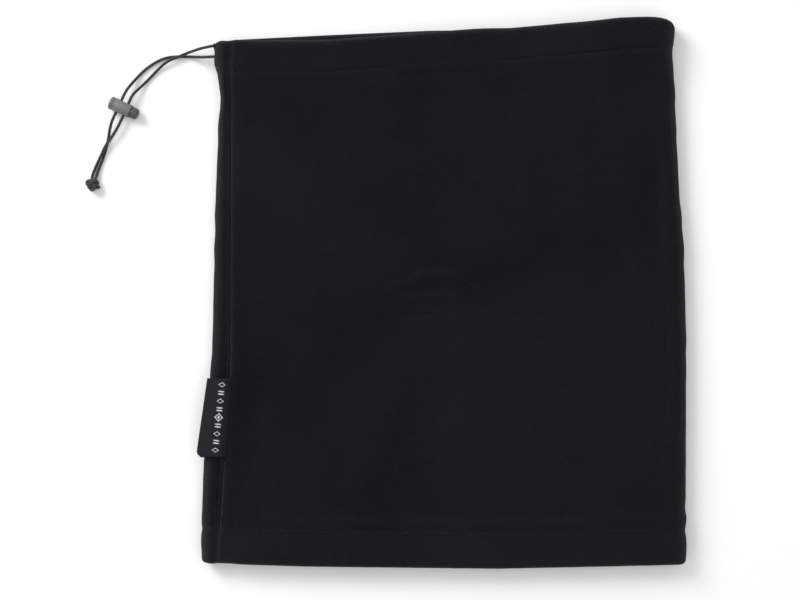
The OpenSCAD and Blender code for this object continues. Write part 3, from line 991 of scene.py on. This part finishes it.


# %% [markdown]
# ## Brushed fleece
# Fleece is a knit whose loops have been brushed up into a short, dense pile. Its colour is an almost black
# blue. The pile stands in tufts of about a millimetre, and each is a tangle of far finer fibres. A ridged
# noise draws thin bright lines that tangle as such fibres do. The hem band is painted a little lighter:
# painted light, standing in for the light that the raised hem catches. The pile also lies in broad patches
# that were stroked in different directions, and those differ in tone. Fibre tips catch light at a low
# angle, which the sheen gives.

# %% Fleece
pile = Recipe("brushed_fleece", Roughness=0.98, Sheen_Weight=0.16, Sheen_Roughness=0.4,
              Sheen_Tint=(0.72, 0.72, 0.84, 1), Specular_IOR_Level=0.08)
cloth_place = pile.add("UVMap", {"uv_map": "cloth"}, {})
body_place = pile.add("TexCoord", {}, {}, "Object")
tufts = pile.add("TexVoronoi", {"feature": "SMOOTH_F1"},
                 {"Vector": cloth_place, "Scale": 820.0, "Smoothness": 0.8})
fibres = pile.add("TexNoise", {"noise_type": "RIDGED_MULTIFRACTAL"},
                  {"Vector": cloth_place, "Scale": 1500.0, "Detail": 4.0, "Roughness": 0.75,
                   "Lacunarity": 2.2, "Offset": 0.85, "Gain": 2.0, "Distortion": 1.2})
grain = pile.noise(cloth_place, 900.0, 4.0, 0.7, 0.8)
stroked = pile.noise(body_place, 26.0, 3.0)
patches = pile.noise(body_place, 8.5, 2.0)
down_sheet = pile.add("SeparateXYZ", {}, {"Vector": cloth_place}, "Y")
# Painted light: the cloth within 35 mm of the hem's raw edge is painted lighter, for the light that the
# raised hem catches.
painted_light_on_hem = pile.add("MapRange", {"interpolation_type": "SMOOTHSTEP"},
                  {"Value": down_sheet, "From Min": 0.037, "From Max": 0.035, "To Min": 0.0, "To Max": 0.09})
# The pile's tone, with the painted light on the hem band added to it.
shade = fibres * 0.16 + grain * 0.35 + stroked * 0.3 + patches * 0.45 + painted_light_on_hem
fleece_dark, fleece_light = (0.003, 0.0029, 0.0037, 1), (0.0118, 0.0115, 0.0142, 1)
fleece_colour = pile.mix(pile.ramp(shade, (0.5, 0), (0.9, 1)), fleece_dark, fleece_light)
pile_height = (1 - tufts) * 0.5 + fibres * 0.22 + grain * 0.8
fleece_material = pile.finish(fleece_colour, pile_height, 1.1 * MM, 0.8)
print("fleece is ready")

# %% [markdown]
# ## Thread, cord and label
# Sewing thread is two plies twisted together. The cord is braided, so its yarns run round it both ways and
# cross in a diamond pattern. The label is a satin weave of fine polyester, which shines a little.

# %% Thread
thread = Recipe("sewing_thread", Roughness=0.85, Sheen_Weight=0.03, Specular_IOR_Level=0.08)
thread_place = thread.add("TexCoord", {}, {}, "Object")
plies = thread.add("TexWave", {"bands_direction": "DIAGONAL"},
                   {"Vector": thread_place, "Scale": 900.0, "Distortion": 1.5})
thread_colour = thread.mix(plies, (0.0025, 0.0025, 0.003, 1), (0.007, 0.007, 0.0085, 1))
thread_material = thread.finish(thread_colour, plies, 0.1 * MM)


# %% Braided cord
def braid(name, length, light=0.045):
    """A braid on a round cord: its UV map runs 0 to 1 along the cord and round it."""
    cord = Recipe(name, Roughness=0.62, Sheen_Weight=0.25, Sheen_Roughness=0.4, Specular_IOR_Level=0.3)
    place = cord.add("UVMap", {"uv_map": "UVMap"}, {})
    along, around = (cord.add("SeparateXYZ", {}, {"Vector": place}, way) for way in ("X", "Y"))
    turns, yarns = length / (1.9 * MM) * math.tau, 4 * math.tau
    left = cord.maths("SINE", along * turns + around * yarns)
    right = cord.maths("SINE", along * turns - around * yarns)
    height = cord.maths("MAXIMUM", left, right)
    fuzz = cord.noise(cord.add("TexCoord", {}, {}, "Object"), 3000.0, 2.0)
    # Partly painted shade: the colour follows the braid's height, so the grooves between the yarns are
    # painted dark, as shade would make them. The fuzz noise is the yarn's own tone.
    shade = cord.ramp(height * 0.5 + fuzz * 0.4, (0.1, 0), (0.8, 1))
    colour = cord.mix(shade, (0.008, 0.008, 0.009, 1), (light, light * 0.98, light * 1.06, 1))
    return cord.finish(colour, height * 0.7 + fuzz * 0.3, 0.16 * MM)


cord_material = braid("braided_cord", 0.105)
ring_material = braid("braided_cord_in_casing", 0.5)
# Painted light: the knot is the same cord as the tails, but its light yarns are painted brighter (0.075
# against 0.045), for the light that the raised knot catches.
painted_lighter_knot_material = braid("braided_cord_in_knot", 0.026, 0.075)

# %% Label and its pattern
satin = Recipe("label_satin", Roughness=0.6, Sheen_Weight=0.04, Specular_IOR_Level=0.16)
tape_place = satin.add("UVMap", {"uv_map": "cloth"}, {})
picks = satin.add("TexWave", {"bands_direction": "Y"},
                  {"Vector": tape_place, "Scale": 1000.0, "Distortion": 0.4})
ends = satin.add("TexWave", {"bands_direction": "X"},
                 {"Vector": tape_place, "Scale": 1900.0, "Distortion": 0.6})
slub = satin.noise(tape_place, 900.0)
weave = picks * 0.55 + ends * 0.25 + slub * 0.3
satin_dark, satin_light = (0.0032, 0.0037, 0.0058, 1), (0.0152, 0.0162, 0.0236, 1)
satin_colour = satin.mix(satin.ramp(weave, (0.2, 0), (0.9, 1)), satin_dark, satin_light)
label_material = satin.finish(satin_colour, weave, 0.1 * MM)

yarn = Recipe("white_yarn", Roughness=0.5, Sheen_Weight=0.2, Specular_IOR_Level=0.35)
yarn_place = yarn.add("TexCoord", {}, {}, "Object")
strands_seen = yarn.noise(yarn_place, 3500.0)
yarn_colour = yarn.mix(strands_seen, (0.5, 0.5, 0.51, 1), (0.86, 0.86, 0.87, 1))
yarn_material = yarn.finish(yarn_colour, strands_seen, 0.06 * MM)

# %% [markdown]
# ## Moulded plastic and spring wire
# The barrel is grey acetal and the plunger a darker, bluer one. Both have a satin skin from a spark-eroded
# mould, with a fine even grain, and faint scuffs where they have rubbed on zips and pockets.


# %% Plastics and wire
def moulded(name, dark, light, roughness):
    """A satin plastic with mould grain and a few scuffs."""
    plastic = Recipe(name, IOR=1.48)
    place = plastic.add("TexCoord", {}, {}, "Object")
    grain_seen = plastic.noise(place, 5200.0, 2.0)
    clouds = plastic.noise(place, 420.0, 3.0)
    scuffs = plastic.ramp(plastic.noise(place, 1500.0, 5.0, 0.75), (0.56, 0), (0.66, 1))
    plastic.feed(plastic.shader.inputs["Roughness"], clouds * 0.16 + scuffs * 0.14 + roughness)
    colour = plastic.mix(clouds * 0.7 + scuffs * 0.3, dark, light)
    return plastic.finish(colour, grain_seen * 0.7 + clouds * 0.5 - scuffs * 0.25, 0.05 * MM)


barrel_material = moulded("grey_acetal", (0.115, 0.115, 0.117, 1), (0.18, 0.18, 0.182, 1), 0.4)
plunger_material = moulded("dark_acetal", (0.048, 0.05, 0.062, 1), (0.085, 0.088, 0.104, 1), 0.36)
steel = Recipe("spring_steel", Metallic=1, IOR=2)
drawn = steel.noise(steel.add("TexCoord", {}, {}, "Object"), 2400.0, 4.0)
steel.feed(steel.shader.inputs["Roughness"], drawn * 0.2 + 0.22)
steel_colour = steel.mix(drawn, (0.42, 0.42, 0.43, 1), (0.62, 0.62, 0.63, 1))
steel_material = steel.finish(steel_colour, drawn, 0.02 * MM)

# %% Every piece gets its material
for piece, recipe in ((fleece, fleece_material), (inner_cord, ring_material), (barrel, barrel_material),
                      (plunger, plunger_material), (spring, steel_material), (label, label_material),
                      (woven_pattern, yarn_material)):
    wear(recipe, piece)
for piece in (hem_thread, casing_thread, seam_thread, overlock, bartacks):
    wear(thread_material, piece)
for tail, _ in tails.values():
    wear(cord_material, tail)
    tail.data.shade_smooth()
for strand in strands:
    wear(painted_lighter_knot_material, strand)

# %% [markdown]
# ## The table and the light
# A plain pale table and soft light from all sides, as in a catalogue picture. One of the two broad lamps
# stands low, beyond the top left corner, because cloth this dark only shows its folds when light rakes
# across it.

# %% Table and lamps
table = bmesh.new()
bmesh.ops.create_grid(table, x_segments=1, y_segments=1, size=2)
bmesh.ops.translate(table, verts=table.verts, vec=(0, 0, -0.15 * MM))
floor = new_piece("table", table)
pale = bpy.data.materials.new("pale_table")
pale.use_nodes = True
pale.node_tree.nodes["Principled BSDF"].inputs["Base Color"].default_value = (0.97, 0.97, 0.97, 1)
pale.node_tree.nodes["Principled BSDF"].inputs["Roughness"].default_value = 0.8
floor.data.materials.append(pale)


def lamp(name, place, size, power):
    """A square lamp that faces the middle of the gaiter."""
    data = bpy.data.lights.new(name, "AREA")
    data.energy, data.size = power, size
    light = bpy.data.objects.new(name, data)
    light.location = place
    light.rotation_euler = Vector(place).to_track_quat("Z", "Y").to_euler()
    scene.collection.objects.link(light)


lamp("window_lamp", (-1.12, 0.98, 0.97), 0.85, 22)
lamp("overhead_lamp", (0.2, -0.1, 1.7), 1.4, 4)
world = bpy.data.worlds.new("soft_daylight")
world.use_nodes = True
world.node_tree.nodes["Background"].inputs["Color"].default_value = (1, 1, 1, 1)
world.node_tree.nodes["Background"].inputs["Strength"].default_value = 0.64
scene.world = world
scene.view_settings.view_transform = "Standard"

# %% [markdown]
# ## Riding on the bodies
# Every piece rides on the body that it moves with, and the CAD nodes that it stands for are hidden.
# Every piece rides on the body that it moves with, and says which CAD nodes it stands for.

# %% Ride and replace
stands_for = [
    (fleece, "gaiter", "fleece", ("fleece_tube", "cord_casing", "bottom_hem", "seam_allowance")),
    (hem_thread, "gaiter", "thread", ("hem_stitches",)),
    (casing_thread, "gaiter", "thread", ("casing_stitches",)),
    (seam_thread, "gaiter", "thread", ("side_seam_stitches",)),
    (overlock, "gaiter", "thread", ("overlock_thread",)),
    (bartacks, "gaiter", "thread", ("cord_exit_bartacks",)),
    (inner_cord, "gaiter", "drawcord", ("drawcord_in_casing",)),
    (barrel, "cord_lock", "lock_barrel", ("cord_lock_barrel",)),
    (plunger, "plunger", "lock_plunger", ("cord_lock_plunger",)),
    (spring, "cord_lock", "spring_wire", ("cord_lock_spring",)),
    (label, "label", "label", ("woven_label",)),
    (woven_pattern, "label", "label_motif", ("label_motif",)),
]
stands_for += [(strand, "gaiter", "drawcord", ("cord_end_knot",)) for strand in strands]
stands_for += [(tail, "gaiter", "drawcord", (name,)) for name, (tail, _) in tails.items()]
for piece, body, slot, nodes in stands_for:
    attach(piece, body)
    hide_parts(*nodes)

pressed_share = (spring_to - spring_from - plunger_travel) / (spring_to - spring_from)
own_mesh(spring)

lock_pieces = [barrel, plunger, spring]
for name, (tail, path) in tails.items():
    line_length(path)
    strands + lock_pieces
